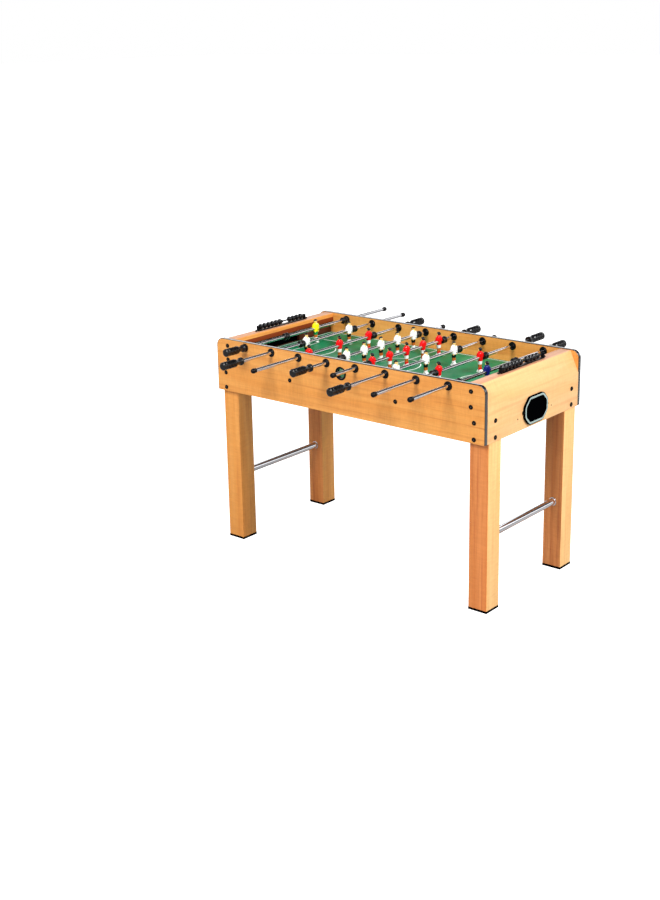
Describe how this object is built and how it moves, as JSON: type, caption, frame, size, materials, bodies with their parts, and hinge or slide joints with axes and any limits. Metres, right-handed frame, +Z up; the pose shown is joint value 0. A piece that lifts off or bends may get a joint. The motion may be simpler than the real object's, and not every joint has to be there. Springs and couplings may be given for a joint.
{
  "type": "foosball table",
  "caption": "Free-standing foosball table: a wood-look box cabinet on square legs, crossed by rods of player figures that slide and turn.",
  "frame": {"origin": "on the floor, under the middle of the outline that the cabinet and the rods make at rest; the cabinet itself is centred at Y = +27.5 mm, because the rods stick out further towards -Y at rest", "axes": "+X along the playfield towards the right-hand goal, +Y across the table from the near side to the far side, +Z up"},
  "size_m": [1.2156, 1.154, 0.8321],
  "materials": {
    "maple_laminate": "satin",
    "pale_laminate": "satin",
    "dark_laminate": "satin",
    "green_field": "gloss",
    "black_plastic": "satin",
    "black_rubber": "matte",
    "grey_plastic": "satin",
    "chromed_steel": "polished",
    "yellow_team": "gloss",
    "white_team": "gloss",
    "red_team": "gloss",
    "blue_team": "gloss"
  },
  "bodies": {
    "cabinet": {"side_panel_near": "maple_laminate", "edge_trim_near": "black_plastic", "side_panel_far": "maple_laminate", "edge_trim_far": "black_plastic", "end_hood_left": "pale_laminate", "goal_wall_left": "dark_laminate", "return_cup_left": "grey_plastic", "ball_chute_left": "black_plastic", "end_hood_right": "pale_laminate", "goal_wall_right": "dark_laminate", "return_cup_right": "grey_plastic", "ball_chute_right": "black_plastic", "playfield": "green_field", "support_rail_near": "maple_laminate", "support_rail_far": "maple_laminate", "serve_cup": "black_plastic", "leg_near_left": "maple_laminate", "foot_near_left": "black_plastic", "leg_far_left": "maple_laminate", "foot_far_left": "black_plastic", "cross_bar_left": "chromed_steel", "leg_near_right": "maple_laminate", "foot_near_right": "black_plastic", "leg_far_right": "maple_laminate", "foot_far_right": "black_plastic", "cross_bar_right": "chromed_steel", "score_rail_left": "black_plastic", "score_rail_right": "black_plastic"},
    "rod_1_cap": {"end_cap_1": "black_plastic"},
    "rod_1": {"rod_1_yellow_men": "yellow_team", "handle_1": "black_rubber"},
    "rod_2_cap": {"end_cap_2": "black_plastic"},
    "rod_2": {"rod_2_white_men": "white_team", "handle_2": "black_rubber"},
    "rod_3_cap": {"end_cap_3": "black_plastic"},
    "rod_3": {"rod_3_red_men": "red_team", "handle_3": "black_rubber"},
    "rod_4_cap": {"end_cap_4": "black_plastic"},
    "rod_4": {"rod_4_white_men": "white_team", "handle_4": "black_rubber"},
    "rod_5_cap": {"end_cap_5": "black_plastic"},
    "rod_5": {"rod_5_red_men": "red_team", "handle_5": "black_rubber"},
    "rod_6_cap": {"end_cap_6": "black_plastic"},
    "rod_6": {"rod_6_white_men": "white_team", "handle_6": "black_rubber"},
    "rod_7_cap": {"end_cap_7": "black_plastic"},
    "rod_7": {"rod_7_red_men": "red_team", "handle_7": "black_rubber"},
    "rod_8_cap": {"end_cap_8": "black_plastic"},
    "rod_8": {"rod_8_blue_men": "blue_team", "handle_8": "black_rubber"},
    "score_beads_left_near": {"score_beads_left_near": "black_plastic"},
    "score_beads_left_far": {"score_beads_left_far": "black_plastic"},
    "score_beads_right_near": {"score_beads_right_near": "black_plastic"},
    "score_beads_right_far": {"score_beads_right_far": "black_plastic"}
  },
  "joints": [
    {"name": "rod_1_slide", "type": "slide", "parent": "cabinet", "child": "rod_1_cap", "axis": [0, 1, 0], "range_m": [-0.197, 0.002]},
    {"name": "rod_1_turn", "type": "hinge", "parent": "rod_1_cap", "child": "rod_1", "pos_m": [-0.4585, 0.0275, 0.787], "axis": [0, 1, 0], "continuous": true},
    {"name": "rod_2_slide", "type": "slide", "parent": "cabinet", "child": "rod_2_cap", "axis": [0, 1, 0], "range_m": [-0.1375, 0.1035]},
    {"name": "rod_2_turn", "type": "hinge", "parent": "rod_2_cap", "child": "rod_2", "pos_m": [-0.3275, 0.0275, 0.787], "axis": [0, 1, 0], "continuous": true},
    {"name": "rod_3_slide", "type": "slide", "parent": "cabinet", "child": "rod_3_cap", "axis": [0, 1, 0], "range_m": [-0.0005, 0.1465]},
    {"name": "rod_3_turn", "type": "hinge", "parent": "rod_3_cap", "child": "rod_3", "pos_m": [-0.1965, 0.0275, 0.787], "axis": [0, 1, 0], "continuous": true},
    {"name": "rod_4_slide", "type": "slide", "parent": "cabinet", "child": "rod_4_cap", "axis": [0, 1, 0], "range_m": [-0.055, 0.036]},
    {"name": "rod_4_turn", "type": "hinge", "parent": "rod_4_cap", "child": "rod_4", "pos_m": [-0.0655, 0.0275, 0.787], "axis": [0, 1, 0], "continuous": true},
    {"name": "rod_5_slide", "type": "slide", "parent": "cabinet", "child": "rod_5_cap", "axis": [0, 1, 0], "range_m": [-0.0375, 0.0535]},
    {"name": "rod_5_turn", "type": "hinge", "parent": "rod_5_cap", "child": "rod_5", "pos_m": [0.0655, 0.0275, 0.787], "axis": [0, 1, 0], "continuous": true},
    {"name": "rod_6_slide", "type": "slide", "parent": "cabinet", "child": "rod_6_cap", "axis": [0, 1, 0], "range_m": [-0.0035, 0.1435]},
    {"name": "rod_6_turn", "type": "hinge", "parent": "rod_6_cap", "child": "rod_6", "pos_m": [0.1965, 0.0275, 0.787], "axis": [0, 1, 0], "continuous": true},
    {"name": "rod_7_slide", "type": "slide", "parent": "cabinet", "child": "rod_7_cap", "axis": [0, 1, 0], "range_m": [-0.0715, 0.1695]},
    {"name": "rod_7_turn", "type": "hinge", "parent": "rod_7_cap", "child": "rod_7", "pos_m": [0.3275, 0.0275, 0.787], "axis": [0, 1, 0], "continuous": true},
    {"name": "rod_8_slide", "type": "slide", "parent": "cabinet", "child": "rod_8_cap", "axis": [0, 1, 0], "range_m": [-0.0235, 0.1755]},
    {"name": "rod_8_turn", "type": "hinge", "parent": "rod_8_cap", "child": "rod_8", "pos_m": [0.4585, 0.0275, 0.787], "axis": [0, 1, 0], "continuous": true},
    {"name": "score_beads_left_near_slide", "type": "slide", "parent": "cabinet", "child": "score_beads_left_near", "axis": [0, 1, 0], "range_m": [-0.0038, 0.0335]},
    {"name": "score_beads_left_far_slide", "type": "slide", "parent": "cabinet", "child": "score_beads_left_far", "axis": [0, 1, 0], "range_m": [-0.0335, 0.0038]},
    {"name": "score_beads_right_near_slide", "type": "slide", "parent": "cabinet", "child": "score_beads_right_near", "axis": [0, 1, 0], "range_m": [-0.0008, 0.0205]},
    {"name": "score_beads_right_far_slide", "type": "slide", "parent": "cabinet", "child": "score_beads_right_far", "axis": [0, 1, 0], "range_m": [-0.0205, 0.0198]}
  ]
}
